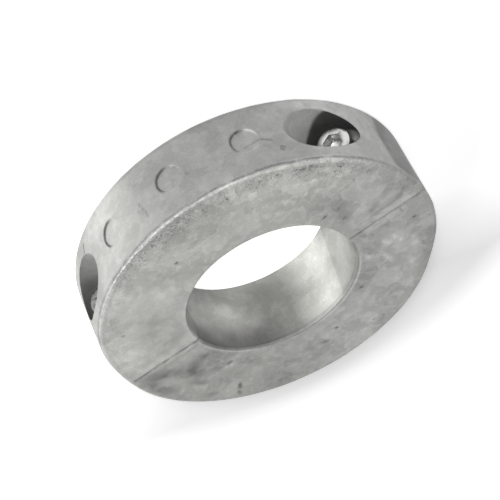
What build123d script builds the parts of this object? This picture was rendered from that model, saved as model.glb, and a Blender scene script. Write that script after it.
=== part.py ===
"""Clamp-on collar anode for a propeller shaft, closed, lying on its back face.

Two cast zinc half rings meet on the plane Y = 0 and are drawn together by two socket head
cap screws. The screw heads sit at the bottom of round pockets in the upper half (+Y), and
the screws run through to hexagonal nuts held in matching pockets of the lower half (-Y).
The origin is on the bore's axis at the back face, and +Z points along the bore.
All sizes are in millimetres.
"""

from build123d import *

import math
import os

os.makedirs("parts", exist_ok=True)

# Casting
bore_diameter = 50.8  # a 2 in shaft
wall = 25.4  # bore to outside, for an outside of 4 in
width = 23.8
outer_edge_radius = 1.4  # taken in facets, each touching an arc of this radius
bore_edge_bevel = 0.5
parting_bevel = 0.3  # along the edges of the split faces

# Ejector marks on the outside of the upper half
mark_diameter = 7.6
mark_depth = 0.5
mark_step = 25.0  # degrees from one mark to the next
mark_count = 3

# Fasteners: 1/4 in socket head cap screws and hexagonal nuts
thread_diameter = 6.35
screw_length = 38.1  # under the head
head_diameter = 1.5 * thread_diameter
head_height = thread_diameter
head_bevel = 0.6
key_size = 0.75 * thread_diameter  # across the flats of the hex key
key_depth = 0.55 * head_height
tip_bevel = 0.8
nut_flats = 1.75 * thread_diameter
nut_thickness = 0.875 * thread_diameter
nut_bevel_height = 0.5
nut_bevel_reach = 0.8
tip_reach = 1.0  # of the screw past the nut

# Clearances
head_room = 2.5  # round the screw head, for the key
shank_play = 0.25
thread_play = 0.05
nut_play = 0.15

# Metal between the split face and the screw head
head_web = 18.8

bore_radius = bore_diameter / 2
outer_radius = bore_radius + wall
screw_offset = bore_radius + wall / 2  # the screws run through the middle of the wall
pocket_radius = head_diameter / 2 + head_room
shank_hole_radius = thread_diameter / 2 + shank_play
nut_web = screw_length - head_web - nut_thickness - tip_reach
drill_point = key_size / 2 * math.tan(math.radians(30))
first_cut = outer_edge_radius * (1 - math.tan(math.radians(22.5)))
second_cut = outer_edge_radius * (math.tan(math.radians(22.5)) - math.tan(math.radians(11.25)))
sides = {"right": 1, "left": -1}


def screw_plane(side, distance, outward=1):
    """A plane across a screw's axis, so far from the split, facing away from it or back."""
    return Plane(
        origin=(side * screw_offset, outward * distance, width / 2),
        x_dir=(1, 0, 0),
        z_dir=(0, outward, 0),
    )


def flats_radius(flats):
    """The corner radius of a hexagon measured across its flats."""
    return flats / math.sqrt(3)


# The section of both halves, from the bore to the outside
with BuildSketch(Plane.XZ) as ring_section:
    with Locations(((bore_radius + outer_radius) / 2, width / 2)):
        Rectangle(wall, width)
    chamfer(ring_section.vertices().group_by(Axis.X)[0], length=bore_edge_bevel)
    chamfer(ring_section.vertices().group_by(Axis.X)[-1], length=first_cut)
    chamfer(ring_section.vertices().group_by(Axis.X)[-2:], length=second_cut)


# Upper half: pockets for the screw heads, and the ejector marks
with BuildPart() as screw_side_half:
    revolve(ring_section.sketch, axis=Axis.Z, revolution_arc=180)
    chamfer(screw_side_half.faces().group_by(Axis.Y)[0].edges(), length=parting_bevel)
    for side in sides.values():
        with Locations(screw_plane(side, outer_radius)):
            CounterBoreHole(
                radius=shank_hole_radius,
                counter_bore_radius=pocket_radius,
                counter_bore_depth=outer_radius - head_web,
                depth=outer_radius,
            )
    for number in range(mark_count):
        angle = 90 + mark_step * (number - (mark_count - 1) / 2)
        radial = Vector(1, 0, 0).rotate(Axis.Z, angle)
        with BuildSketch(Plane(radial * outer_radius + Vector(0, 0, width / 2), z_dir=radial)):
            Circle(mark_diameter / 2)
        extrude(amount=-mark_depth, mode=Mode.SUBTRACT)

screw_side_half.part.label = "screw_side_half"
export_step(screw_side_half.part, "parts/screw_side_half.step")


# Lower half: hexagonal pockets that keep the nuts from turning
with BuildPart() as nut_side_half:
    revolve(ring_section.sketch, axis=Axis.Z, revolution_arc=-180)
    chamfer(nut_side_half.faces().group_by(Axis.Y)[-1].edges(), length=parting_bevel)
    for side in sides.values():
        with Locations(screw_plane(side, outer_radius, outward=-1)):
            Hole(radius=shank_hole_radius, depth=outer_radius)
        with BuildSketch(screw_plane(side, nut_web, outward=-1)):
            RegularPolygon(flats_radius(nut_flats + 2 * nut_play), 6)
        extrude(amount=outer_radius - nut_web, mode=Mode.SUBTRACT)

nut_side_half.part.label = "nut_side_half"
export_step(nut_side_half.part, "parts/nut_side_half.step")


for name, side in sides.items():
    # Cap screw, seated on the floor of its pocket
    with BuildPart() as cap_screw:
        with BuildSketch(screw_plane(side, head_web)):
            Circle(head_diameter / 2)
        extrude(amount=head_height)
        chamfer(cap_screw.edges().group_by(Axis.Y)[-1], length=head_bevel)
        with BuildSketch(screw_plane(side, head_web + head_height)):
            RegularPolygon(flats_radius(key_size), 6)
        extrude(amount=-key_depth, mode=Mode.SUBTRACT)
        with Locations(screw_plane(side, head_web + head_height - key_depth)):
            Cone(
                bottom_radius=0,
                top_radius=key_size / 2,
                height=drill_point,
                align=(Align.CENTER, Align.CENTER, Align.MAX),
                mode=Mode.SUBTRACT,
            )
        with BuildSketch(screw_plane(side, head_web)):
            Circle(thread_diameter / 2)
        extrude(amount=-screw_length)
        chamfer(cap_screw.edges().group_by(Axis.Y)[0], length=tip_bevel)
    cap_screw.part.label = "cap_screw_" + name
    export_step(cap_screw.part, "parts/cap_screw_" + name + ".step")

    # Nut, seated on the floor of its pocket: a bevelled disc trimmed to a hexagon
    with BuildPart() as hex_nut:
        with BuildSketch(screw_plane(side, nut_web, outward=-1)):
            Circle(flats_radius(nut_flats))
        extrude(amount=nut_thickness)
        chamfer(hex_nut.edges(), length=nut_bevel_height, length2=nut_bevel_reach)
        with BuildSketch(screw_plane(side, nut_web, outward=-1)):
            RegularPolygon(flats_radius(nut_flats), 6)
        extrude(amount=nut_thickness, mode=Mode.INTERSECT)
        with BuildSketch(screw_plane(side, nut_web, outward=-1)):
            Circle(thread_diameter / 2 + thread_play)
        extrude(amount=nut_thickness, mode=Mode.SUBTRACT)
    hex_nut.part.label = "hex_nut_" + name
    export_step(hex_nut.part, "parts/hex_nut_" + name + ".step")
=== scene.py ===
"""Dresses the collar anode: two rough zinc castings, two cap screws and two hexagonal nuts.

Lengths are in millimetres until a skin becomes a mesh. Every skin is worked out in the
frame's own axes: the bore runs along Z, and the castings meet on the plane Y = 0.
"""

import math

import bmesh
import bpy
import numpy as np
from mathutils import Matrix


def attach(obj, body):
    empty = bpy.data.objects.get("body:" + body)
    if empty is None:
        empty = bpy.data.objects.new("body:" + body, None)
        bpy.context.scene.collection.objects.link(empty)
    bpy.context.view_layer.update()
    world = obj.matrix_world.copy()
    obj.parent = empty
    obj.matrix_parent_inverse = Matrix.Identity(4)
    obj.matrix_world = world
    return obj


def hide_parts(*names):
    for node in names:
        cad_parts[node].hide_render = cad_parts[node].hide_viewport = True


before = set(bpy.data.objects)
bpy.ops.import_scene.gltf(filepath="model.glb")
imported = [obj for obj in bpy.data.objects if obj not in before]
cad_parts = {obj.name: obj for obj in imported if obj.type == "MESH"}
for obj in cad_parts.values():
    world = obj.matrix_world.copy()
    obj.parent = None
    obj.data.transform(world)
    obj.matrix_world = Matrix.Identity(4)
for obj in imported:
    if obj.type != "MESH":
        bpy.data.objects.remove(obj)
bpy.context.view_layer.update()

# Castings
BORE = 25.4
OUTSIDE = 50.8
LENGTH = 23.8
MIDDLE = LENGTH / 2
EDGE = 1.4  # rounding of the outer edges
LIP = 0.5  # bevel round the bore
SPLIT_BEVEL = 0.3
MOUTH_EDGE = 0.25
SCREW_X = 38.1
HEAD_POCKET = 7.2625
HEAD_SEAT = 18.8
SHANK_HOLE = 3.425
NUT_POCKET = 11.4125  # across the flats
NUT_SEAT = 12.74375
MARK_TURNS = (65.0, 90.0, 115.0)
MARK = 3.8
MARK_DEPTH = 0.5
MARK_EDGE = 0.12

# Fasteners
HEAD = 4.7625
HEAD_HEIGHT = 6.35
HEAD_BEVEL = 0.6
KEY = 4.7625  # across the flats
KEY_DEPTH = 3.4925
THREAD = 3.175
PITCH = 1.27
THREAD_DEPTH = 0.62
SOCKET_PLAY = 0.02
RIDGES = 36  # round the head
RIDGE_DEPTH = 0.16
SCREW_LENGTH = 38.1
NUT_FLATS = 11.1125
NUT_THICKNESS = 5.55625
NUT_BEVEL = 0.5
TURNED_STEPS = 144

# Steps along half of the casting's section, all round it and so all round each pocket
WALL_STEPS = 20
EDGE_STEPS = 10
FACE_STEPS = 44
BORE_STEPS = 20
STEPS = 2 * (WALL_STEPS + EDGE_STEPS + FACE_STEPS + BORE_STEPS)

ROUND = np.linspace(0, 2 * math.pi, STEPS + 1)

# Turns where the stretches of the outside meet, and the steps along each stretch: plain,
# pocket, mark, mark, mark, pocket, plain
BORDERS = (0.0, 21.0, 57.5, 77.5, 102.5, 122.5, 159.0, 180.0)
BORDER_STEPS = (36, 54, 35, 44, 35, 54, 36)

RANDOM_VALUES = 8192
HASH = (73856093, 19349663, 83492791)
WELD = 2000  # points share a place when they agree in steps of 1 / 2000 mm


# ---------------------------------------------------------------- skins


def cloud(points, grain, seed):
    """A smooth field from -1 to 1: random values on a cubic lattice of that grain, blended
    between its corners by 6t^5 - 15t^4 + 10t^3."""
    values = np.random.default_rng(seed).uniform(-1, 1, RANDOM_VALUES)
    place = points / grain + 400
    cell = np.floor(place).astype(np.int64)
    t = place - cell
    t = t * t * t * (t * (6 * t - 15) + 10)
    total = np.zeros(len(points))
    for corner in range(8):
        ahead = np.array([corner & 1, corner >> 1 & 1, corner >> 2 & 1])
        at = (cell + ahead) @ np.array(HASH) % RANDOM_VALUES
        total += values[at] * np.prod(np.where(ahead == 1, t, 1 - t), axis=1)
    return total


def rows_between(first, last, count):
    """Rows of points in equal steps on the straight way from one loop to another."""
    share = np.linspace(0, 1, count + 1)[:, None, None]
    return first + (last - first) * share


def on_wall(turn, height):
    """Points of the outside cylinder: (R cos turn, R sin turn, height)."""
    return np.stack([OUTSIDE * np.cos(turn), OUTSIDE * np.sin(turn), height], -1)


def weld(patches):
    """One skin from grids of points: four neighbours make a face, and points that share a
    place become one, so a face with two corners in one place becomes a triangle."""
    points, faces, start = [], [], 0
    for grid in patches:
        rows, columns = grid.shape[:2]
        index = start + np.arange(rows * columns).reshape(rows, columns)
        corners = [index[:-1, :-1], index[1:, :-1], index[1:, 1:], index[:-1, 1:]]
        faces.append(np.stack(corners, -1).reshape(-1, 4))
        points.append(grid.reshape(-1, 3))
        start += rows * columns
    points = np.concatenate(points)
    place = np.round(points * WELD + 0.137).astype(np.int64)
    _, first, same = np.unique(place, axis=0, return_index=True, return_inverse=True)
    faces = same.ravel()[np.concatenate(faces)]
    whole = (faces != np.roll(faces, 1, axis=1)).all(axis=1)
    rest = faces[~whole]
    corners = np.concatenate([rest[:, [0, 1, 2]], rest[:, [0, 2, 3]]])
    kept = (corners != np.roll(corners, 1, axis=1)).all(axis=1)
    return points[first], faces[whole].tolist() + corners[kept].tolist()


def skin(name, points, faces, relief=None, crease=38):
    """A closed mesh with its faces turned outwards. relief gives each point's move from the
    true shape and the point attributes that the finish reads."""
    mesh = bpy.data.meshes.new(name)
    mesh.from_pydata(points * 0.001, [], faces)
    shell = bmesh.new()
    shell.from_mesh(mesh)
    bmesh.ops.recalc_face_normals(shell, faces=shell.faces)
    shell.to_mesh(mesh)
    shell.free()
    if relief:
        normals = np.zeros(len(points) * 3, np.float32)
        mesh.vertex_normals.foreach_get("vector", normals)
        normals = normals.reshape(-1, 3).astype(float)
        move, attributes = relief(points, normals)
        moved = (points + move) * 0.001
        mesh.vertices.foreach_set("co", moved.astype(np.float32).ravel())
        for title, values in attributes.items():
            layer = mesh.attributes.new(title, "FLOAT", "POINT")
            layer.data.foreach_set("value", values.astype(np.float32))
    mesh.shade_smooth()
    mesh.set_sharp_from_angle(angle=math.radians(crease))
    mesh.update()
    piece = bpy.data.objects.new(name, mesh)
    bpy.context.scene.collection.objects.link(piece)
    return piece


# ---------------------------------------------------------------- castings


def section():
    """The casting's section as a loop of (radius, height): from the middle of the outside up
    over the rounded edge, in along the face, over the bevel and down the bore, then back
    the same way below. The steps are closer together near the outer edges: the wall climbs
    by 1.25 t - 0.25 t^3, and the face goes in by t^1.15."""
    t = np.linspace(0, 1, WALL_STEPS + 1)
    climb = MIDDLE + (MIDDLE - EDGE) * (1.25 * t - 0.25 * t**3)
    wall = np.stack([np.full(WALL_STEPS + 1, OUTSIDE), climb], -1)
    a = np.linspace(0, math.pi / 2, EDGE_STEPS + 1)[1:]
    edge = np.stack([OUTSIDE - EDGE + EDGE * np.cos(a), LENGTH - EDGE + EDGE * np.sin(a)], -1)
    reach = np.linspace(0, 1, FACE_STEPS + 1)[1:] ** 1.15
    inner = OUTSIDE - EDGE - (OUTSIDE - EDGE - BORE - LIP) * reach
    face = np.stack([inner, np.full(FACE_STEPS, LENGTH)], -1)
    down = np.linspace(LENGTH - LIP, MIDDLE, BORE_STEPS)
    bore = np.stack([np.full(BORE_STEPS, BORE), down], -1)
    upper = np.concatenate([wall, edge, face, bore])
    lower = upper[::-1][1:] * [1, -1] + [0, LENGTH]
    return np.concatenate([upper, lower])


def swept(loop, share):
    """The section carried round the bore, from one split bevel to the other. It starts where
    y is the bevel's width, so its first angle is asin(bevel / radius)."""
    radius = loop[None, :, 0]
    first = np.arcsin(SPLIT_BEVEL / radius)
    turn = first + share[:, None] * (math.pi - 2 * first)
    height = np.broadcast_to(loop[None, :, 1], turn.shape)
    return np.stack([radius * np.cos(turn), radius * np.sin(turn), height], -1)


def frame_round(turns, heights):
    """The border of a stretch of the outside as a loop of (turn, height), from the middle of
    its first side, up, over and back round."""
    half = len(heights) // 2
    sides = [
        (np.full(half, turns[0]), heights[half:-1]),
        (turns[:-1], np.full(len(turns) - 1, heights[-1])),
        (np.full(2 * half, turns[-1]), heights[:0:-1]),
        (turns[:0:-1], np.full(len(turns) - 1, heights[0])),
        (np.full(half + 1, turns[0]), heights[: half + 1]),
    ]
    return np.concatenate([np.stack(side, -1) for side in sides])


def circle(radius):
    """A circle across the screw's axis as (x, height)."""
    return np.stack([SCREW_X + radius * np.cos(ROUND), MIDDLE + radius * np.sin(ROUND)], -1)


def hexagon(flats):
    """A hexagon across the screw's axis as (x, height), with corners on the X direction:
    straight runs between six corners."""
    corners = np.arange(7) * math.pi / 3
    at = np.round(np.arange(7) * STEPS / 6)
    reach = flats / math.sqrt(3)
    x = np.interp(np.arange(STEPS + 1), at, reach * np.cos(corners))
    z = np.interp(np.arange(STEPS + 1), at, reach * np.sin(corners))
    return np.stack([SCREW_X + x, MIDDLE + z], -1)


def across(outline, y):
    """An outline of (x, height) put at that distance from the split."""
    return np.stack([outline[:, 0], np.broadcast_to(y, len(outline)), outline[:, 1]], -1)


def pocket(border, mouth, inner, seat, loop):
    """Everything round one screw: the outside from its border to the mouth, blended in turn
    and height; the mouth's rounded edge; the pocket's wall and floor; the shank's hole; and
    the split face out to its bevel."""
    mouth_turn = np.stack([np.arccos(mouth[:, 0] / OUTSIDE), mouth[:, 1]], -1)
    flat = rows_between(border, mouth_turn, 22)
    outside = on_wall(flat[..., 0], flat[..., 1])
    rim = across(mouth, np.sqrt(OUTSIDE**2 - mouth[:, 0] ** 2))
    drop = across(inner, np.sqrt(OUTSIDE**2 - inner[:, 0] ** 2) - MOUTH_EDGE)
    soft = 0.7 * across(inner, rim[:, 1]) + 0.3 * rim
    soft[:, 1] = 0.7 * rim[:, 1] + 0.3 * drop[:, 1]
    edge = np.stack([rim, soft, drop])
    floor = across(inner, seat)
    hole = across(circle(SHANK_HOLE), seat)
    foot = across(circle(SHANK_HOLE), 0.0)
    middle = (BORE + OUTSIDE) / 2
    wide = OUTSIDE - BORE
    inset = np.stack(
        [
            middle + (loop[:, 0] - middle) * (1 - 2 * SPLIT_BEVEL / wide),
            MIDDLE + (loop[:, 1] - MIDDLE) * (1 - 2 * SPLIT_BEVEL / LENGTH),
        ],
        -1,
    )
    start = np.stack([np.sqrt(loop[:, 0] ** 2 - SPLIT_BEVEL**2), loop[:, 1]], -1)
    return [
        outside,
        edge,
        rows_between(drop, floor, 34),
        rows_between(floor, hole, 5),
        rows_between(hole, foot, 5),
        rows_between(foot, across(inset, 0.0), 18),
        rows_between(across(inset, 0.0), across(start, SPLIT_BEVEL), 1),
    ]


def ejector_mark(turns, heights, turn):
    """A round mark pressed square to the radius: the outside blended from its border to a
    circle, then the mark's soft edge, its wall and its flat floor, closed at the centre."""
    border = frame_round(turns, heights)
    a = np.linspace(0, 2 * math.pi, len(border))
    along = np.array([math.sin(turn), -math.cos(turn), 0.0])
    out = np.array([math.cos(turn), math.sin(turn), 0.0])
    reach = MARK + MARK_EDGE
    rim_turn = turn - np.arcsin(reach * np.cos(a) / OUTSIDE)
    rim = np.stack([rim_turn, MIDDLE + reach * np.sin(a)], -1)
    flat = rows_between(border, rim, 14)

    def ring(radius, lift):
        """A circle of that radius across the mark, that far from the bore's axis."""
        level = lift * out + np.array([0.0, 0.0, MIDDLE])
        round_it = np.cos(a)[:, None] * along + np.sin(a)[:, None] * [0.0, 0.0, 1.0]
        return level + radius * round_it

    skirt = np.sqrt(OUTSIDE**2 - (MARK * np.cos(a)) ** 2)
    top = ring(MARK, OUTSIDE) + (skirt - OUTSIDE - MARK_EDGE)[:, None] * out
    floor = ring(MARK - MARK_EDGE, OUTSIDE - MARK_DEPTH)
    return [
        on_wall(flat[..., 0], flat[..., 1]),
        rows_between(on_wall(rim[:, 0], rim[:, 1]), top, 1),
        rows_between(top, floor, 2),
        rows_between(floor, ring(0.0, OUTSIDE - MARK_DEPTH), 9),
    ]


def casting(upper):
    """The patches of one half, made on the +Y side. Its borders across the outside are at
    the same turns on both halves."""
    loop = section()
    heights = np.concatenate([loop[-WALL_STEPS - 1 : -1], loop[: WALL_STEPS + 1]])[:, 1]
    first = math.asin(SPLIT_BEVEL / OUTSIDE)
    borders = np.radians(BORDERS)
    borders[0], borders[-1] = first, math.pi - first
    sides = zip(borders[:-1], borders[1:], BORDER_STEPS)
    stretches = [np.linspace(low, high, count + 1) for low, high, count in sides]
    stops = np.unique(np.concatenate(stretches).round(12))
    share = (stops - first) / (math.pi - 2 * first)
    patches = [swept(loop[WALL_STEPS:-WALL_STEPS], share)]
    plain = [stretches[0], stretches[6]] + ([] if upper else stretches[2:5])
    patches += [on_wall(*np.meshgrid(turns, heights, indexing="ij")) for turns in plain]
    if upper:
        mouth, inner = circle(HEAD_POCKET + MOUTH_EDGE), circle(HEAD_POCKET)
        seat = HEAD_SEAT
        for stretch, turn in zip(stretches[2:5], MARK_TURNS):
            patches += ejector_mark(stretch, heights, math.radians(turn))
    else:
        mouth, inner = hexagon(NUT_POCKET + 2 * MOUTH_EDGE), hexagon(NUT_POCKET)
        seat = NUT_SEAT
    right = pocket(frame_round(stretches[1], heights), mouth, inner, seat, loop)
    return patches + right + [patch * [-1, 1, 1] for patch in right]


def spot(points, x, y, long, short, lean):
    """1 at a place of the front face, falling off at the edge of a leaning ellipse."""
    c, n = math.cos(math.radians(lean)), math.sin(math.radians(lean))
    u = (points[:, 0] - x) * c + (points[:, 1] - y) * n
    v = (points[:, 1] - y) * c - (points[:, 0] - x) * n
    return np.exp(-(((u / long) ** 2 + (v / short) ** 2) ** 1.6))


def spots(points, rows):
    """The sum of several spots, each row (x, y, long, short, lean, amount)."""
    return sum(row[5] * spot(points, *row[:5]) for row in rows)


def step(value, soft):
    """0 below nought and 1 above it, as a smooth ramp of that width."""
    t = np.clip(value / soft + 0.5, 0, 1)
    return t * t * (3 - 2 * t)


def span(value, low, high, soft):
    """1 between two limits and 0 outside them, with smooth ramps of that width."""
    return step(value - low, soft) * step(high - value, soft)


def line(value, at, wide):
    """1 where the value is that number, falling off as a Gaussian of that width."""
    return np.exp(-(((value - at) / wide) ** 2))


# Blemishes of the front face: x, y, long, short, lean in degrees, depth or strength
PITS = [
    (-12.1, 34.5, 0.6, 0.5, 0, 1.0),
    (-29.6, -32.1, 1.5, 0.6, 60, 1.0),
    (-25.6, -18.7, 1.2, 0.7, 20, 0.8),
    (4.4, -34.3, 0.6, 0.5, 0, 1.0),
    (18.5, -23.3, 0.7, 0.5, 40, 1.0),
    (43.6, -8.1, 0.5, 0.5, 0, 0.8),
    (25.2, 14.9, 0.9, 0.5, 20, 0.8),
    (29.4, 14.6, 0.7, 0.5, 0, 0.5),
    (-1.2, -37.4, 1.6, 0.8, -30, 0.5),
    (-38.6, 20.8, 0.5, 0.4, 0, 0.7),
    (-31.5, -35.0, 1.2, 0.6, 80, 0.7),
    (31.9, 36.5, 0.6, 0.4, 0, 0.8),
    (29.9, 37.0, 0.5, 0.4, 0, 0.9),
    (14.2, -41.6, 0.6, 0.5, 0, 0.5),
    (30.2, 37.4, 0.6, 0.3, 120, 0.8),
    (32.8, 35.2, 0.5, 0.3, 60, 0.8),
    (33.7, 33.9, 0.5, 0.3, 140, 0.7),
    (28.5, 38.6, 0.7, 0.3, 150, 0.8),
    (31.0, 35.4, 0.4, 0.4, 0, 0.6),
    (29.0, 9.7, 0.8, 0.3, 20, 0.6),
    (37.8, 21.5, 0.6, 0.3, 60, 0.5),
]
PALE = [
    (-27.0, 33.0, 10.0, 6.5, 130, 0.13),
    (31.0, -14.0, 6.0, 4.0, 80, 0.13),
    (13.0, -41.0, 8.0, 3.5, 18, 0.10),
    (31.0, -36.0, 6.0, 4.0, 45, 0.06),
    (32.0, 25.5, 7.0, 5.0, 130, 0.12),
    (22.5, 37.0, 13, 7.5, 140, 0.14),
    (-25.6, -18.9, 3.0, 2.2, 20, 0.16),
    (30.3, -16.5, 4.4, 0.9, 95, 0.24),
    (35.0, -25.5, 3.4, 1.1, 80, 0.22),
    (26.0, -12.0, 2.0, 0.8, 90, 0.22),
    (36.0, -12.0, 3.0, 0.8, 100, 0.20),
    (20.0, -32.5, 3.5, 2.0, 10, 0.12),
    (29.0, -30.0, 3.0, 2.0, 40, 0.10),
    (40.0, -18.0, 3.0, 1.0, 70, 0.20),
    (-12.0, -40.0, 4.0, 1.6, 0, 0.08),
    (-43.0, 8.0, 5.0, 9.0, 0, 0.08),
]
DARK = [
    (-32.5, 16.0, 7.0, 4.5, 30, 0.12),
    (-46.0, -5.0, 4.5, 4.0, 0, 0.22),
    (48.5, 5.5, 2.5, 4.0, 0, 0.10),
    (-33.0, 16.0, 5.0, 4.0, 30, 0.05),
    (31.0, 36.0, 3.0, 1.6, 130, 0.08),
    (-35.0, -11.0, 9.0, 4.0, -50, 0.12),
    (-29.0, -24.0, 5.0, 4.0, 0, 0.13),
    (39.3, 13.8, 3.0, 3.0, 0, 0.06),
    (45.5, 6.1, 3.0, 2.4, 30, 0.10),
    (32.0, 16.0, 9.0, 5.0, 60, 0.07),
    (42.2, 8.8, 2.0, 1.4, 30, 0.18),
    (44.3, 4.3, 1.6, 1.0, 10, 0.16),
    (36.8, 6.2, 3.0, 1.2, 30, 0.12),
    (29.1, 9.6, 2.0, 1.4, 0, 0.06),
    (-4.2, -41.0, 6.0, 1.8, 8, 0.12),
    (-20.0, -41.0, 9.0, 4.0, -20, 0.12),
    (-30.0, -8.5, 4.0, 2.4, -10, 0.28),
    (-35.5, -10.8, 5.0, 2.8, -40, 0.22),
    (-40.0, -6.0, 3.0, 2.0, -30, 0.22),
    (-45.5, -12.0, 5.0, 2.0, -66, 0.22),
    (-37.0, -18.0, 3.0, 1.6, -60, 0.14),
    (-33.0, 5.0, 6.0, 3.0, 20, 0.10),
    (-38.0, -27.0, 3.0, 1.2, -40, 0.16),
    (36.0, -33.0, 8.0, 2.0, 45, 0.10),
]


# Painted light and shade on the outside of the upper half, lighter and darker round the
# bore as the light falls: turn, share
WALL_LIGHT_AND_SHADE = [
    (0, 1.15),
    (20, 1.18),
    (38, 1.20),
    (50, 0.96),
    (64, 0.79),
    (80, 0.77),
    (100, 0.81),
    (115, 1.14),
    (122, 1.20),
    (132, 0.88),
    (150, 0.96),
]

# Painted light and shade in the bore: turn, its width, height, its width, amount
BORE_LIGHT_AND_SHADE = [
    (-66, 9, 6.5, 4.5, 0.30),
    (-72, 9, 18.5, 4.5, 0.30),
    (-88, 9, 12.0, 4.5, -0.22),
    (-118, 16, 9.0, 8.0, -0.24),
]

# Raised lands along the split: side in x, two limits and their ramp; side in y, the far
# limit, how it grows with x, and its ramp; share
LANDS = [
    (1, 35.0, 43.4, 1.0, 1, 0.7, 0.05, 0.7, 1.0),
    (1, 43.6, 48.2, 0.6, 1, 1.9, 0.00, 0.6, 1.0),
    (1, 31.0, 41.9, 0.4, -1, 2.8, 0.00, 0.6, 1.0),
    (-1, 34.0, 47.5, 4.0, 1, 2.3, 0.00, 0.8, 0.8),
    (-1, 27.5, 46.5, 2.0, -1, 1.6, 0.00, 0.5, 0.9),
]
LAND_START = 0.4  # from the split

# Fine lines on the outside: turn and height at both ends, strength
TICKS = [
    (130.6, 3.4, 132.4, 6.2, 0.7),
    (101.9, 12.6, 100.4, 17.8, 0.35),
    (103.2, 14.0, 101.6, 16.4, 0.25),
    (61.3, 12.8, 57.5, 14.2, 0.45),
    (66.0, 13.9, 61.3, 12.8, 0.25),
    (55.9, 17.0, 55.0, 17.5, 0.6),
    (56.3, 17.9, 55.6, 18.3, 0.5),
    (84.5, 13.5, 84.2, 14.2, 0.4),
    (39.0, 4.5, 36.5, 4.8, 0.25),
    (72.0, 17.4, 71.0, 18.2, 0.25),
]
TICK_WIDTH = 0.3

BURR_EDGE = 52  # degrees round the front rim's rounding, from the wall to the face
CRACK_EDGE = 16
RIM_REACH = 9.0  # how far from the rim its distance is told


def ticks(turn, height):
    """The strongest of the fine lines at each point: each falls off as a Gaussian of the
    distance to the nearest place between its two ends."""
    mm = math.radians(1) * OUTSIDE
    total = 0 * turn
    for turn_a, height_a, turn_b, height_b, strength in TICKS:
        along, up = (turn_b - turn_a) * mm, height_b - height_a
        u, v = (turn - turn_a) * mm, height - height_a
        share = np.clip((u * along + v * up) / (along**2 + up**2), 0, 1)
        off = np.hypot(u - share * along, v - share * up)
        drawn = min(1.5 * strength, 1) * np.exp(-((off / TICK_WIDTH) ** 2))
        total = np.maximum(total, drawn)
    return total


class Places:
    """Where each point of a casting is. Shares from 0 to 1 tell its surfaces apart: front,
    wall, bore, inside (a pocket or a shank's hole), in_pocket (of the upper half), rounding
    (of the front's outer edge), above (the upper half), and left and right (the damaged
    stretches of the front rim). waves, lumps, ragged, grain and fine are random fields, from
    coarse to fine. edge is the turn in degrees round the front rim's rounding."""

    def __init__(self, points, normals):
        x, y, z = points.T
        radius = np.hypot(x, y)
        turn = np.degrees(np.arctan2(y, x))
        self.x, self.y, self.z, self.radius, self.turn = x, y, z, radius, turn
        self.waves, self.lumps = cloud(points, 15, 1), cloud(points, 5, 2)
        self.grain, self.fine = cloud(points, 1.7, 3), cloud(points, 0.9, 4)
        self.ragged = 0.5 + 0.5 * np.clip(1.8 * cloud(points, 2.2, 5), -1, 1)
        off_screw = np.hypot(np.abs(x) - SCREW_X, z - MIDDLE)
        self.inside = (off_screw < HEAD_POCKET + 0.05) & (radius < OUTSIDE - 0.08)
        self.inside &= np.abs(y) > SPLIT_BEVEL
        self.in_pocket = self.inside & (y > 0)
        self.front = np.clip((normals[:, 2] - 0.6) / 0.3, 0, 1) * ~self.inside
        self.wall = (radius > OUTSIDE - 1.0) * np.clip(1 - np.abs(normals[:, 2]) * 2, 0, 1)
        self.bore = (radius < BORE + 0.3).astype(float)
        self.above = np.clip(y / 2, 0, 1)
        self.rounding = (radius > OUTSIDE - EDGE - 0.01) & (z > LENGTH - EDGE - 0.01)
        self.edge = np.degrees(np.arctan2(z - LENGTH + EDGE, radius - OUTSIDE + EDGE))
        self.left = np.clip((turn - 80) / 14, 0, 1) * np.clip((178 - turn) / 6, 0, 1)
        self.right = span(turn, 24, 92, 16)


def rim_faults(at):
    """The burr on the front rim, the hairline crack below it, the chips behind it and the
    rough ground further in."""
    burr = at.rounding * line(at.edge, BURR_EDGE + 8 * at.lumps, 8) * at.above
    torn = 0.5 * at.right * step(at.ragged - 0.6, 0.4)
    burr = burr * np.maximum(at.left * (0.2 + 0.8 * at.ragged), torn)
    crack = np.where(at.rounding, line(at.edge, CRACK_EDGE + 6 * at.lumps, 12), 0) * at.above
    crack = crack * np.maximum(at.right * (0.35 + 0.65 * at.ragged), 0.40 * at.left)
    chips = line(at.radius, OUTSIDE - EDGE - 0.5 - 0.4 * at.ragged, 0.35)
    chips = np.where(at.radius < OUTSIDE - EDGE, chips, 0) * at.front * at.above
    chips = chips * step(at.ragged - 0.35, 0.5) * np.maximum(at.left, at.right)
    rough = line(at.radius, OUTSIDE - 4.0, 3.0) * at.front * at.above
    rough = rough * (0.35 + 0.65 * span(at.turn, 30, 112, 30))
    return burr, crack, chips, rough


def face_strips(at):
    """The lands along the split, the lip round the bore and the groove inside that lip. The
    lip's pale line is a painted highlight, the groove's dark line is painted shade.
    """
    lands = 0
    for side, low, high, soft, half, far, slope, ramp, share in LANDS:
        reach = span(half * at.y, LAND_START, far + slope * at.x, ramp)
        lands = lands + share * span(side * at.x, low, high, soft) * reach
    lip = line(at.radius, BORE + 1.0, 0.3) * at.front * np.clip(-at.y / 4, 0, 1)
    lip = lip * np.maximum(span(at.turn, -84, -22, 14), 0.8 * span(at.turn, -176, -128, 14))
    lip += 0.7 * line(at.radius, BORE + 0.8, 0.3) * at.front * span(at.turn, 138, 177, 12)
    groove = line(at.radius, BORE + 0.35, 0.34) * np.clip(-at.y / 3, 0, 1)
    return lands * at.front, lip, groove * (at.z > LENGTH - 1.2)


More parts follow.
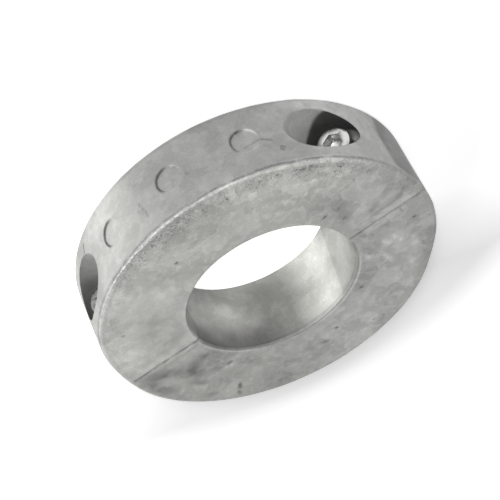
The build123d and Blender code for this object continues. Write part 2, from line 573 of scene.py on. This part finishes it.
def rim_distance(at):
    """The distance along the section from the burr's line on the front rim: less than nought
    down the wall, more than nought in along the face, and far off in the bore."""
    along = np.where(at.rounding, np.radians(at.edge) * EDGE, at.z - LENGTH + EDGE)
    on_face = at.z > LENGTH - 0.01
    along = np.where(on_face, math.pi / 2 * EDGE + OUTSIDE - EDGE - at.radius, along)
    along = np.where(at.bore > 0, RIM_REACH, np.clip(along, -RIM_REACH, RIM_REACH))
    return along - math.radians(BURR_EDGE) * EDGE


def sharper_corner(at):
    """The front rim by the right end of the split is less rounded: a point at that angle of
    the rounding moves out by 0.8 of what the full corner has beyond the arc."""
    angle = np.radians(np.clip(at.edge, 0, 90))
    beyond = EDGE / np.maximum(np.cos(angle), np.sin(angle)) - EDGE
    return 0.8 * np.where(at.rounding, beyond, 0) * span(at.turn, -11, 9, 6)


def worn_rim(at):
    """Two stretches of the front rim are worn down, towards the axis: Gaussians round the
    bore, growing from the middle of the length and from 38 mm out."""
    worn = 0.8 * (line(at.turn % 360, 176, 15) + line(at.turn, -36, 14))
    return worn * np.clip((at.z - 12) / 10, 0, 1) * np.clip((at.radius - 38) / 11, 0, 1)


def round_marks(at):
    """Painted shade in the corner of each round mark, thicker on the side turned from the
    light, and the marks' floors.
    """
    near = (at.y > 0) * (at.radius > OUTSIDE - 1.2)
    dirt_and_shade, floors = 0, 0
    for mark in np.radians(MARK_TURNS):
        along = at.x * math.sin(mark) - at.y * math.cos(mark)
        off = np.hypot(along, at.z - MIDDLE)
        # Painted shade: it grows on the side of the mark that faces away from the light.
        side = (-0.45 * (at.z - MIDDLE) - along) / MARK - 0.35
        shade = 0.10 + 0.90 * step(side, 0.8)
        dirt_and_shade = np.maximum(dirt_and_shade, line(off, MARK, 0.32) * near * shade)
        floors = floors + (off < MARK) * near
    return dirt_and_shade, floors


def face_tone(at, points):
    """Pale patches and stains of the front face, and painted light and shade from side to side.
    """
    tone = 1.5 * (spots(points, PALE) - spots(points, DARK)) * (0.7 + 0.6 * at.ragged)
    # Painted light and shade: lower half darker, left of the upper half and a band near its rim
    # lighter.
    tone -= 0.08 * np.clip(-at.y / 3, 0, 1)
    tone -= 0.06 * np.clip(-at.x / 30, 0, 1) * (at.y < 0)
    tone += 0.19 * np.clip(-at.x / 45, 0, 1) * at.above
    tone += 0.14 * line(at.radius, 43, 8) * span(at.turn, 30, 75, 20) * at.above
    return tone * at.front


def wall_light_and_shade(at):
    """Painted light and shade on the outside of the upper half: lighter and darker round the
    bore as the light falls, a shaded foot, painted light on the front rim's rounding, and a
    painted shaded stretch with a bowed border by the right end of the split."""
    turn, z = at.turn, at.z
    tone = np.interp(turn, *zip(*WALL_LIGHT_AND_SHADE)) - 1
    # Painted light and shade: darker low on the wall at 56 to 100 degrees, lighter low down at
    # 30 to 50, and a shaded foot.
    tone -= 0.08 * step(MIDDLE - z, 14) * span(turn, 56, 100, 20)
    tone += 0.20 * span(turn, 30, 50, 14) * step(MIDDLE - 4 - z, 8)
    tone -= 0.22 * step(1.5 - z, 1.4) * span(turn, 40, 112, 20)
    # Painted shade: a dark stretch by the right end of the split, where the wall turns from the
    # light.
    border = 16.8 - 0.018 * (z - MIDDLE - 4) ** 2 - 7 * step(z - MIDDLE - 10.8, 1.6)
    tone -= (0.70 + 0.10 * at.lumps) * step(border + 0.6 * at.lumps - turn, 3.0)
    # Painted light on the front rim's rounding at 26 to 58 degrees, and painted shade on it at
    # the left end.
    rounding = at.rounding * (0.30 * span(turn, 26, 58, 16) - 0.10 * at.left)
    return at.above * (tone * at.wall + rounding)


def bore_light_and_shade(at):
    """Painted light and shade in the bore: lit on one side, with a slanting painted shadow
    border, and shaded on the other.
    """
    turn, z = at.turn, at.z
    border = turn + 55 + 0.35 * (z - MIDDLE) + 2.0 * at.waves
    # Painted light on the lit side, painted shadow below the slanting border, shade on the far
    # side.
    tone = 0.52 * span(turn, -88, -20, 22) + 0.34 * line(turn, -66, 8) - 0.19
    tone -= 0.30 * step(border, 1.5) * (at.y < 0)
    tone += 0.40 * line(turn, -140, 16) * line(z, 10.5 + 0.1 * (turn + 140), 4.5)
    tone -= 0.40 * span(turn, -190, -104, 40) * step(z - 17.5, 9) + 0.10 * at.lumps
    for turn_at, turn_wide, height, height_wide, amount in BORE_LIGHT_AND_SHADE:
        tone += amount * line(turn, turn_at, turn_wide) * line(z, height, height_wide)
    return tone * at.bore


def pocket_light_and_shade(at):
    """Painted light and shade in the screws' pockets: the right one is painted lit at its mouth
    and painted in shadow from a ragged line inwards, the left one is painted a little darker
    inwards, as shade."""
    pocket_turn = np.degrees(np.arctan2(at.z - MIDDLE, np.abs(at.x) - SCREW_X))
    start = 27.6 + 0.045 * np.clip(pocket_turn + 110, -60, 80) + 0.6 * at.lumps
    right = 0.34 - 1.16 * step(start - at.y, 1.4)
    left = -0.27 - 0.16 * step(26.5 - at.y, 5.0)
    return at.in_pocket * np.where(at.x > 0, right, left)


def dirt_and_shade(at, crack, pits, groove, marks):
    """The strongest darkening at each point: dirt in thin clouds all over and in lines along
    the split, the lands, the crack, the pits and the fine lines, and painted shade in the
    groove and in the round marks."""
    split = line(at.y, 0.0, 0.45) * (1 - 0.7 * at.bore)
    land_end = span(at.x, 41.7, 42.2, 0.3) * span(-at.y, 0.3, 3.0, 0.4)
    land_right = line(at.y, 2.9 + 0.02 * at.x, 0.35) * span(at.x, 34.0, 43.4, 1.0)
    land_left = line(at.y, -2.1, 0.35) * span(-at.x, 27.5, 40.0, 4.0) * at.ragged
    return np.maximum.reduce(
        [
            0.10 * np.clip(at.lumps * 0.5 + at.waves * 0.7, 0, 1),
            split * (0.55 + 0.35 * at.ragged),
            0.35 * land_end * at.front,
            0.30 * land_right * at.front,
            0.35 * land_left * at.front,
            0.35 * crack,
            0.90 * pits,
            0.75 * groove,
            marks,
            at.wall * at.above * ticks(at.turn, at.z),
        ]
    )


def cast_relief(points, normals):
    """A casting's departure from the true shape, and the facts that its finish reads. The
    moves go inwards, but for the burr and the sharper corner, which stay inside the box."""
    at = Places(points, normals)
    burr, crack, chips, rough = rim_faults(at)
    lands, lip, groove = face_strips(at)
    pits = np.clip(1.3 * spots(points, PITS), 0, 1) * at.front
    marks, mark_floors = round_marks(at)

    depth = 0.09 + 0.035 * at.waves + 0.025 * at.lumps + 0.012 * at.grain
    depth += rough * (0.02 + 0.05 * np.abs(at.grain) + 0.05 * np.abs(at.fine))
    depth += 0.17 * pits + 0.20 * crack + 0.08 * chips + 0.10 * groove
    depth -= 0.06 * lands + 0.17 * burr + 0.06 * lip
    in_bore = 0.05 + 0.02 * at.waves + 0.01 * at.lumps + 0.06 * groove
    depth = np.where(at.inside, 0.03 + 0.02 * at.grain, depth)
    depth = np.where(at.bore > 0, in_bore, depth)
    depth = np.clip(depth, np.where(at.rounding, -0.1, 0.0), 0.5)
    lift = sharper_corner(at) - depth * np.clip(np.abs(at.y) / SPLIT_BEVEL, 0, 1)
    outwards = np.stack([at.x / at.radius, at.y / at.radius, 0 * at.z], -1)
    move = normals * lift[:, None] - outwards * worn_rim(at)[:, None]

    # The tone holds stains and painted light and shade of the face, wall, bore and pockets.
    tone = 1 + face_tone(at, points) + wall_light_and_shade(at) + bore_light_and_shade(at) + pocket_light_and_shade(at)
    # Painted light: a pale patch on the floor of the right pocket, by its seat.
    painted_glint = line(at.x - SCREW_X, 5.0, 1.3) * line(at.z - MIDDLE, -2.4, 1.9)
    painted_glint = painted_glint * at.ragged * at.in_pocket * (at.x > 0) * (at.y < HEAD_SEAT + 0.5)
    warm = at.front * (1 - 0.5 * step(0.8 * at.x - 0.6 * at.y - 14, 40))
    warm_wall = 0.8 * at.wall * at.above * step(at.turn - 98, 24)
    calm_face = 0.9 * at.front * at.above * step(at.turn - 122, 30)
    fading = 1 - 0.6 * step(at.turn - 122, 20) - 0.2 * step(at.turn - 148, 16)
    return move, {
        "tone": tone + 0.04 * mark_floors,
        # Dirt, and painted shade in the groove round the bore and in the round marks.
        "grime_and_shade": dirt_and_shade(at, crack, pits, groove, marks),
        # Pale lands, and painted highlights on the lip round the bore and in the right pocket.
        "bright": 0.12 * lands + 0.4 * lip + 0.9 * painted_glint,
        "rough": rough,
        "calm": np.maximum.reduce([at.wall, at.bore, at.inside, calm_face]),
        "bare": at.bore,
        "face": np.maximum.reduce([warm, 1.3 * at.bore, warm_wall]),
        "rim": rim_distance(at),
        "burr": at.above * np.maximum(at.left * fading, 0.6 * at.right),
        "crack": at.above * np.maximum(at.right, 0.8 * at.left),
    }


# ---------------------------------------------------------------- fasteners


def turned(profile, side, seat, outward, shape):
    """A profile of (radius, distance along the screw) carried round the screw's axis, its
    radius changed by shape(radius, distance, turn)."""
    turn = np.linspace(0, 2 * math.pi, TURNED_STEPS + 1)
    radius = np.broadcast_to(profile[:, :1], (len(profile), TURNED_STEPS + 1))
    along = np.broadcast_to(profile[:, 1:], (len(profile), TURNED_STEPS + 1))
    radius = shape(radius, along, np.broadcast_to(turn, radius.shape))
    x = side * SCREW_X + radius * np.cos(turn)
    z = MIDDLE + radius * np.sin(turn)
    return np.stack([x, outward * (seat + along), z], -1)


def cap_screw(side):
    """A socket head screw: from the drill point up the hexagonal socket, over the bevelled
    and knurled head, down the shank and the thread to the tip."""
    flat = KEY / 2
    socket_wall = flat + SOCKET_PLAY
    socket_floor = HEAD_HEIGHT - KEY_DEPTH
    bevel_foot = HEAD_HEIGHT - HEAD_BEVEL
    face_edge = HEAD - HEAD_BEVEL
    shank = THREAD - 0.02
    profile = [
        (0, socket_floor - flat * math.tan(math.radians(30))),
        (flat, socket_floor),
        (socket_wall, socket_floor),
        (socket_wall, HEAD_HEIGHT - 0.3),
        (flat + 0.1, HEAD_HEIGHT - 0.08),
        (flat + 0.3, HEAD_HEIGHT),
        (face_edge - 0.08, HEAD_HEIGHT),
        (face_edge + 0.1, HEAD_HEIGHT - 0.06),
        (HEAD - 0.1, bevel_foot + 0.06),
        (HEAD, bevel_foot - 0.06),
    ]
    profile += [(HEAD, along) for along in np.linspace(bevel_foot - 0.2, 0.7, 12)]
    profile += [(HEAD - 0.12, 0.3), (HEAD - 0.3, 0.0), (THREAD + 0.2, 0.0), (shank, -0.2)]
    profile += [(shank, -along) for along in (6.0, 12.0, 18.6)]
    profile += [(THREAD, -along) for along in np.linspace(19.05, SCREW_LENGTH - 0.75, 110)]
    profile += [(THREAD - 0.35, -SCREW_LENGTH + 0.4), (THREAD - 0.8, -SCREW_LENGTH)]
    profile += [(0, -SCREW_LENGTH)]

    def shape(radius, along, turn):
        """A hexagon's flat / cos(turn from it) in the socket and at its bevelled mouth, a
        ring of 36 cosine ridges round the head, and a rolled thread: a triangle wave of
        (along / pitch + turn / full turn), flat at its crests and roots."""
        corner = np.cos((turn + math.pi / 6) % (math.pi / 3) - math.pi / 6)
        in_socket = (radius > flat + 0.01) & (radius < flat + 0.05) & (along > 1)
        radius = np.where(in_socket, flat / corner, radius)
        in_mouth = (along > HEAD_HEIGHT - 0.2) & (radius < flat + 0.2)
        radius = np.where(in_mouth, (flat + 0.08) / corner, radius)
        on_mouth = (along > HEAD_HEIGHT - 0.01) & (radius < flat + 0.35)
        radius = np.where(on_mouth, (flat + 0.22) / corner, radius)
        ridge = 0.5 - 0.5 * np.cos(turn * RIDGES)
        ridged = np.clip((bevel_foot - 0.15 - along) / 0.4, 0, 1)
        ridged = ridged * np.clip((along - 0.6) / 0.4, 0, 1)
        on_head = radius > HEAD - 0.01
        radius = np.where(on_head, radius - RIDGE_DEPTH * ridge * ridged, radius)
        wave = np.abs(((along / PITCH + turn / (2 * math.pi)) % 1) - 0.5) * 2
        cut = THREAD_DEPTH * np.clip(wave * 1.25 - 0.12, 0, 1)
        run_out = np.clip((-18.9 - along) / 1.2, 0, 1)
        threaded = (along < -18.7) & (along > -SCREW_LENGTH + 0.5)
        return np.where(threaded, radius - cut * run_out, radius)

    return turned(np.array(profile, float), side, HEAD_SEAT, 1, shape)


def left_screw_shaded(points, normals):
    """No move, and one fact: the screw on the left is painted dark, as shade in its pocket, the
    one on the right is not.
    """
    return 0 * points, {"painted_shade": np.where(points[:, 0] < 0, 0.85, 0.0)}


def hex_nut(side):
    """A nut: a loop through its bore, seat face, bevelled corners, flats and outer face. The
    flats' radius is apothem / cos(turn from the nearest flat), held under the bevel's cone."""
    bore = THREAD + 0.05
    apothem = NUT_FLATS / 2
    corner = NUT_FLATS / math.sqrt(3)
    near_seat = np.linspace(0.0, NUT_BEVEL, 6)
    between = np.linspace(1.0, NUT_THICKNESS - 1.0, 5)
    near_face = np.linspace(NUT_THICKNESS - NUT_BEVEL, NUT_THICKNESS, 6)
    profile = [(bore, 0.4), (bore + 0.35, 0.0), (apothem - 0.2, 0.0)]
    profile += [(corner + 1, along) for along in [*near_seat, *between, *near_face]]
    profile += [(apothem - 0.2, NUT_THICKNESS), (bore + 0.35, NUT_THICKNESS)]
    profile += [(bore, NUT_THICKNESS - 0.4)]
    profile += [(bore, along) for along in np.linspace(NUT_THICKNESS - 0.6, 0.4, 8)]

    def shape(radius, along, turn):
        """Hexagon and bevel cone on the outside, the plain radius elsewhere."""
        sides = apothem / np.cos((turn % (math.pi / 3)) - math.pi / 6)
        end = np.minimum(along, NUT_THICKNESS - along)
        cone = corner - 0.8 * np.clip(1 - end / NUT_BEVEL, 0, 1)
        return np.where(radius > corner, np.minimum(sides, cone), radius)

    return turned(np.array(profile, float), side, NUT_SEAT, -1, shape)


# ---------------------------------------------------------------- finishes


class Finish:
    """A node material under construction: each call adds one node and returns its output."""

    def __init__(self, name):
        self.material = bpy.data.materials.new(name)
        self.material.use_nodes = True
        self.tree = self.material.node_tree
        self.shader = self.tree.nodes["Principled BSDF"]
        self.place = self.tree.nodes.new("ShaderNodeTexCoord").outputs["Object"]

    def put(self, socket, value):
        """Links an output to a socket, or sets a plain value on it."""
        if isinstance(value, bpy.types.NodeSocket):
            self.tree.links.new(value, socket)
        else:
            socket.default_value = value

    def noise(self, size_mm, detail, rough, warp=0.0):
        node = self.tree.nodes.new("ShaderNodeTexNoise")
        self.put(node.inputs["Vector"], self.place)
        self.put(node.inputs["Scale"], 1000.0 / size_mm)
        self.put(node.inputs["Detail"], detail)
        self.put(node.inputs["Roughness"], rough)
        self.put(node.inputs["Distortion"], warp)
        return node.outputs["Fac"]

    def streaks(self, long_mm, wide_mm, lean):
        """Noise drawn out along one direction of the front face."""
        leaning = self.tree.nodes.new("ShaderNodeMapping")
        self.put(leaning.inputs["Vector"], self.place)
        leaning.inputs["Rotation"].default_value = (0, 0, math.radians(-lean))
        drawn = self.tree.nodes.new("ShaderNodeMapping")
        self.put(drawn.inputs["Vector"], leaning.outputs["Vector"])
        drawn.inputs["Scale"].default_value = (wide_mm / long_mm, 1, 1)
        node = self.tree.nodes.new("ShaderNodeTexNoise")
        self.put(node.inputs["Vector"], drawn.outputs["Vector"])
        self.put(node.inputs["Scale"], 1000.0 / wide_mm)
        self.put(node.inputs["Detail"], 1.0)
        return node.outputs["Fac"]

    def spots(self, size_mm):
        node = self.tree.nodes.new("ShaderNodeTexVoronoi")
        self.put(node.inputs["Vector"], self.place)
        self.put(node.inputs["Scale"], 1000.0 / size_mm)
        return node.outputs["Distance"]

    def attribute(self, name):
        node = self.tree.nodes.new("ShaderNodeAttribute")
        node.attribute_name = name
        return node.outputs["Fac"]

    def span(self, value, low, high, to_low=0.0, to_high=1.0):
        node = self.tree.nodes.new("ShaderNodeMapRange")
        self.put(node.inputs["Value"], value)
        limits = {"From Min": low, "From Max": high, "To Min": to_low, "To Max": to_high}
        for title, number in limits.items():
            self.put(node.inputs[title], number)
        return node.outputs["Result"]

    def band(self, value, low, high, soft):
        """1 between two limits and 0 outside them, with ramps of that width."""
        rise = self.span(value, low - soft, low)
        return self.math("MINIMUM", rise, self.span(value, high, high + soft, 1, 0))

    def times(self, first, second):
        return self.math("MULTIPLY", first, second)

    def plus(self, first, second, clamp=False):
        return self.math("ADD", first, second, clamp)

    def math(self, operation, first, second=0.5, clamp=False):
        node = self.tree.nodes.new("ShaderNodeMath")
        node.operation = operation
        node.use_clamp = clamp
        self.put(node.inputs[0], first)
        self.put(node.inputs[1], second)
        return node.outputs[0]

    def blend(self, share, first, second):
        node = self.tree.nodes.new("ShaderNodeMix")
        node.data_type = "RGBA"
        self.put(node.inputs[0], share)
        self.put(node.inputs[6], first)
        self.put(node.inputs[7], second)
        return node.outputs[2]

    def tint(self, value, colour):
        """A colour scaled by a number."""
        node = self.tree.nodes.new("ShaderNodeVectorMath")
        node.operation = "SCALE"
        self.put(node.inputs[0], colour)
        self.put(node.inputs["Scale"], value)
        return node.outputs["Vector"]

    def bump(self, height, distance_mm, strength, under=None):
        node = self.tree.nodes.new("ShaderNodeBump")
        self.put(node.inputs["Height"], height)
        self.put(node.inputs["Distance"], distance_mm * 0.001)
        self.put(node.inputs["Strength"], strength)
        if under is not None:
            self.put(node.inputs["Normal"], under)
        return node.outputs["Normal"]

    def finish(self, **inputs):
        for title, value in inputs.items():
            self.put(self.shader.inputs[title.replace("_", " ")], value)
        return self.material


ZINC_GREY = 0.43


def grey(value, warmth=0.0):
    """A grey with a little yellow in it."""
    return (value, value, value * (1 - warmth), 1.0)


def zinc_tone(z):
    """The casting's colour before any fault: clouds, patches and flakes of oxide, weaker where
    the surface is calm, and a fine grain, stronger where it is rough, times the tone."""
    clouds = z.span(z.noise(20, 5, 0.6, 0.4), 0.42, 0.58, -0.13, 0.11)
    patches = z.span(z.noise(7, 4, 0.55, 0.3), 0.48, 0.52, -0.10, 0.07)
    flakes = z.span(z.noise(2.6, 3, 0.55, 0.2), 0.54, 0.57, -0.03, 0.10)
    mottled = z.plus(clouds, z.plus(patches, flakes))
    mottled = z.times(mottled, z.span(z.attribute("calm"), 0, 1, 1.0, 0.6))
    grain = z.span(z.noise(0.45, 3, 0.7), 0.3, 0.7, -1, 1)
    grain = z.times(grain, z.span(z.attribute("rough"), 0, 1, 0.07, 0.28))
    value = z.plus(z.plus(mottled, grain), 1.0)
    value = z.times(value, z.attribute("tone"))
    value = z.times(value, ZINC_GREY)
    return z.tint(value, z.blend(z.attribute("face"), grey(1.0, 0.015), grey(1.0, 0.05)))


def scratched(z, colour):
    """Long pale scratches in places, and dark pinholes in others."""
    off = z.math("ABSOLUTE", z.math("SUBTRACT", z.streaks(30, 0.6, 35), 0.5))
    scratch = z.span(off, 0.0, 0.012, 1, 0)
    scratch = z.times(scratch, z.span(z.noise(12, 2, 0.5), 0.5, 0.6, 0, 0.25))
    colour = z.blend(scratch, colour, grey(0.62, 0.02))
    holes = z.span(z.spots(2.6), 0.05, 0.09, 1, 0)
    holes = z.times(holes, z.span(z.noise(8, 2, 0.5), 0.5, 0.58))
    return z.blend(z.times(holes, 0.5), colour, grey(0.12, 0.03))


def damaged_rim(z, colour):
    """The front rim: a broken bright burr, pale and dark chips behind it, a dark crack below
    it, and a net of fine cracks on the rough ground. Each is a band of the distance from the
    rim, made ragged by noise."""
    rim, damage = z.attribute("rim"), z.attribute("burr")
    across = z.plus(rim, z.span(z.noise(5, 3, 0.6), 0.3, 0.7, -0.45, 0.45))
    broken = z.span(z.noise(1.3, 3, 0.7), 0.45, 0.58, 0.1, 0.85)
    burr = z.times(z.band(across, -0.10, 0.10, 0.15), broken)
    burr = z.times(damage, burr)
    chips = z.times(z.band(across, 0.3, 2.4, 0.8), damage)
    pale = z.times(chips, z.span(z.noise(0.9, 3, 0.6), 0.52, 0.60, 0, 0.26))
    dark = z.times(chips, z.span(z.noise(0.75, 3, 0.65), 0.36, 0.42, 0.7, 0))
    below = z.plus(rim, z.span(z.noise(7, 4, 0.65), 0.3, 0.7, -0.3, 0.3))
    crack = z.times(z.attribute("crack"), z.band(below, -0.95, -0.65, 0.45))
    crack = z.times(crack, z.span(z.noise(2.2, 3, 0.65), 0.38, 0.60, 0.15, 0.70))
    colour = z.blend(z.plus(burr, pale, True), colour, grey(0.75, 0.01))
    colour = z.blend(z.plus(dark, crack, True), colour, grey(0.10, 0.03))
    off = z.math("ABSOLUTE", z.math("SUBTRACT", z.noise(1.9, 2, 0.5, 0.6), 0.5))
    net = z.span(off, 0.006, 0.018, 0.9, 0)
    net = z.times(net, z.span(z.noise(4.5, 2, 0.6), 0.48, 0.56))
    net = z.times(net, z.span(z.attribute("rough"), 0.25, 0.7))
    return z.blend(net, colour, grey(0.08, 0.03))


def cast_zinc():
    """Dull cast zinc: flakes of oxide with sharp borders, fine grain, scratches and pinholes,
    dirt in the corners, painted shade in the round marks and the groove round the bore,
    painted highlights, bare metal on the burrs, and a smoother bore."""
    z = Finish("cast zinc")
    bare = z.attribute("bare")
    colour = damaged_rim(z, scratched(z, zinc_tone(z)))
    thickness = z.span(z.noise(1.1, 4, 0.7), 0.35, 0.6, 0.7, 1.0)
    # Dirt, and painted shade in the round marks and the groove round the bore.
    colour = z.blend(z.times(z.attribute("grime_and_shade"), thickness), colour, grey(0.06, 0.05))
    # Pale lands, and painted highlights on the lip round the bore and in the right pocket.
    colour = z.blend(z.attribute("bright"), colour, grey(0.85, 0.01))
    normal = z.bump(z.noise(0.5, 3, 0.65), 0.05, 0.45)
    normal = z.bump(z.noise(2.2, 3, 0.6), 0.10, 0.45, normal)
    roughness = z.span(z.noise(3, 3, 0.6), 0.3, 0.7, 0.42, 0.56)
    roughness = z.math("SUBTRACT", roughness, z.times(bare, 0.12))
    metallic = z.plus(0.15, z.times(bare, 0.15))
    return z.finish(Base_Color=colour, Metallic=metallic, Roughness=roughness, Normal=normal)


def stainless():
    """Turned stainless steel, a little smeared, and painted dark on the left screw, as shade.
    """
    s = Finish("stainless steel")
    colour = s.blend(s.span(s.noise(3, 3, 0.6), 0.3, 0.7), grey(0.50, 0.02), grey(0.62, 0.02))
    thickness = s.span(s.noise(1.2, 3, 0.6), 0.4, 0.6, 0.7, 1)
    # Painted shade: the left screw darkened, as in its pocket's shadow.
    painted_shade = s.times(s.attribute("painted_shade"), thickness)
    colour = s.blend(painted_shade, colour, grey(0.07, 0.04))
    roughness = s.span(s.noise(1.5, 2, 0.6), 0.3, 0.7, 0.24, 0.36)
    normal = s.bump(s.noise(0.6, 2, 0.5), 0.006, 0.3)
    return s.finish(Base_Color=colour, Metallic=0.9, Roughness=roughness, Normal=normal)


ZINC = cast_zinc()
STEEL = stainless()


def dress(piece, node, material):
    """Gives a piece its finish and puts it in place of its plain node."""
    piece.data.materials.append(material)
    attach(piece, "root")
    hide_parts(node)


for upper, title in ((True, "screw_side"), (False, "nut_side")):
    points, faces = weld(casting(upper))
    if not upper:
        points = points * [1, -1, 1]
    dress(skin(title + "_casting", points, faces, cast_relief), title + "_half", ZINC)

for side, title in ((1, "right"), (-1, "left")):
    screw = skin("socket_screw_" + title, *weld([cap_screw(side)]), left_screw_shaded, crease=30)
    dress(screw, "cap_screw_" + title, STEEL)
    nut = skin("pocket_nut_" + title, *weld([hex_nut(side)]), crease=30)
    dress(nut, "hex_nut_" + title, STEEL)


# ---------------------------------------------------------------- stage


def for_eyes(tree, lit, seen):
    """One shader for the light that an object gets, another for camera, glossy and
    transmission rays."""
    path = tree.nodes.new("ShaderNodeLightPath")
    share = path.outputs["Is Camera Ray"]
    for title in ("Is Glossy Ray", "Is Transmission Ray"):
        either = tree.nodes.new("ShaderNodeMath")
        either.operation = "MAXIMUM"
        tree.links.new(share, either.inputs[0])
        tree.links.new(path.outputs[title], either.inputs[1])
        share = either.outputs[0]
    mix = tree.nodes.new("ShaderNodeMixShader")
    tree.links.new(share, mix.inputs[0])
    tree.links.new(lit, mix.inputs[1])
    tree.links.new(seen, mix.inputs[2])
    return mix.outputs[0]


def both(tree, first, second):
    """The light of two shaders added up."""
    node = tree.nodes.new("ShaderNodeAddShader")
    tree.links.new(first, node.inputs[0])
    tree.links.new(second, node.inputs[1])
    return node.outputs[0]


def white_share(tree, low, high, full, towards=None):
    """A share of seen white on the floor, painted light over its shade, that grows from 0 to
    full with the distance from the bore's axis, or with the distance in one direction; low
    above high turns it round."""
    place = tree.nodes.new("ShaderNodeTexCoord").outputs["Object"]
    reach = tree.nodes.new("ShaderNodeVectorMath")
    reach.operation = "DOT_PRODUCT" if towards else "LENGTH"
    tree.links.new(place, reach.inputs[0])
    reach.inputs[1].default_value = towards or (0, 0, 0)
    share = tree.nodes.new("ShaderNodeMapRange")
    for title, number in (("From Min", low), ("From Max", high), ("To Max", full)):
        share.inputs[title].default_value = number
    tree.links.new(reach.outputs["Value"], share.inputs["Value"])
    return share.outputs["Result"]


# Seen white on the floor, painted light over the anode's shadow under the bore, on two sides
# and further out: distance where it starts, where it is full, how full, direction (none: from
# the bore's axis all round)
FLOOR_PAINTED_LIGHT = [
    (0.045, 0.026, 0.85, None),
    (-0.048, -0.012, 0.42, (0.45, 0.893, 0)),
    (0.008, 0.062, 0.42, (-0.8, 0.6, 0)),
    (0.094, 0.118, 0.42, None),
    (0.2, 0.8, 1.0, None),
]
FLOOR_GREY = 0.65  # in the light that the floor throws back
FLOOR_SEEN = 1.2
FLOOR_REACH = 3.0
WORLD_LIGHT = 0.08

# Lamps: name, direction, size, power
LAMPS = [
    ("key", (-0.875, 0.408, 0.259), 1.6, 25.5),
    ("front", (0.176, 0.84, 0.51), 0.22, 10.0),
    ("top", (0.05, 0.1, 0.99), 0.8, 2.8),
]
LAMP_DISTANCE = 1.4
LAMP_AIM = 0.012  # height that the lamps look at

CAMERA_RIGHT = (0.81554064, -0.46069291, 0.35022208)
CAMERA_UP = (0.54691736, 0.41578155, -0.72664098)
CAMERA_BACK = (0.18914247, 0.78414778, 0.5910477)
CAMERA_PLACE = (0.07928935, 0.33288531, 0.25843634)
CAMERA_LENS = 106.794
CAMERA_SENSOR = 36.0


def diffuse(tree, value):
    """A dull grey shader."""
    node = tree.nodes.new("ShaderNodeBsdfDiffuse")
    node.inputs["Color"].default_value = (value, value, value, 1)
    return node.outputs[0]


def make_floor():
    """A wide pale floor that the anode lies on. It keeps the anode's shadow on the side away
    from the lamps; painted light whitens it under the bore, on two sides and further out."""
    mesh = bpy.data.meshes.new("floor")
    corners = [(-1, -1), (1, -1), (1, 1), (-1, 1)]
    corners = [(x * FLOOR_REACH, y * FLOOR_REACH, 0) for x, y in corners]
    mesh.from_pydata(corners, [], [(0, 1, 2, 3)])
    floor = bpy.data.objects.new("floor", mesh)
    bpy.context.scene.collection.objects.link(floor)
    material = bpy.data.materials.new("pale floor")
    material.use_nodes = True
    tree = material.node_tree
    tree.nodes.remove(tree.nodes["Principled BSDF"])
    shares = [white_share(tree, *row) for row in FLOOR_PAINTED_LIGHT]
    share = shares[0]
    for other in shares[1:]:
        most = tree.nodes.new("ShaderNodeMath")
        most.operation = "MAXIMUM"
        tree.links.new(share, most.inputs[0])
        tree.links.new(other, most.inputs[1])
        share = most.outputs[0]
    white = tree.nodes.new("ShaderNodeEmission")
    tree.links.new(share, white.inputs["Strength"])
    seen = both(tree, diffuse(tree, FLOOR_SEEN), white.outputs[0])
    surface = for_eyes(tree, diffuse(tree, FLOOR_GREY), seen)
    tree.links.new(surface, tree.nodes["Material Output"].inputs["Surface"])
    mesh.materials.append(material)


def make_world(strength):
    """Soft white light from all round, and a plain white background."""
    world = bpy.data.worlds.new("studio")
    bpy.context.scene.world = world
    world.use_nodes = True
    tree = world.node_tree
    light = tree.nodes["Background"]
    light.inputs["Color"].default_value = (1, 1, 1, 1)
    light.inputs["Strength"].default_value = strength
    white = tree.nodes.new("ShaderNodeBackground")
    white.inputs["Color"].default_value = (1, 1, 1, 1)
    surface = for_eyes(tree, light.outputs[0], white.outputs[0])
    tree.links.new(surface, tree.nodes["World Output"].inputs["Surface"])


def make_lamp(name, direction, size, power):
    """A square lamp, looking at the anode's middle from that direction."""
    lamp = bpy.data.lights.new(name, "AREA")
    lamp.shape = "SQUARE"
    lamp.size = size
    lamp.energy = power
    holder = bpy.data.objects.new(name, lamp)
    bpy.context.scene.collection.objects.link(holder)
    back = np.array(direction, float)
    back /= np.linalg.norm(back)
    right = np.cross([0, 0, 1], back)
    right /= np.linalg.norm(right)
    up = np.cross(back, right)
    turn = Matrix(np.column_stack([right, up, back]).tolist()).to_4x4()
    place = back * LAMP_DISTANCE + [0, 0, LAMP_AIM]
    holder.matrix_world = Matrix.Translation(place.tolist()) @ turn


def make_camera():
    """The camera at its place, rolled so that the bore runs down to the right."""
    camera = bpy.data.cameras.new("camera")
    camera.lens = CAMERA_LENS
    camera.sensor_width = CAMERA_SENSOR
    camera.clip_start, camera.clip_end = 0.01, 20.0
    holder = bpy.data.objects.new("camera", camera)
    bpy.context.scene.collection.objects.link(holder)
    turn = Matrix(list(zip(CAMERA_RIGHT, CAMERA_UP, CAMERA_BACK))).to_4x4()
    holder.matrix_world = Matrix.Translation(CAMERA_PLACE) @ turn
    bpy.context.scene.camera = holder


make_floor()
make_world(WORLD_LIGHT)
for lamp in LAMPS:
    make_lamp(*lamp)
make_camera()
bpy.context.scene.view_settings.view_transform = "Standard"
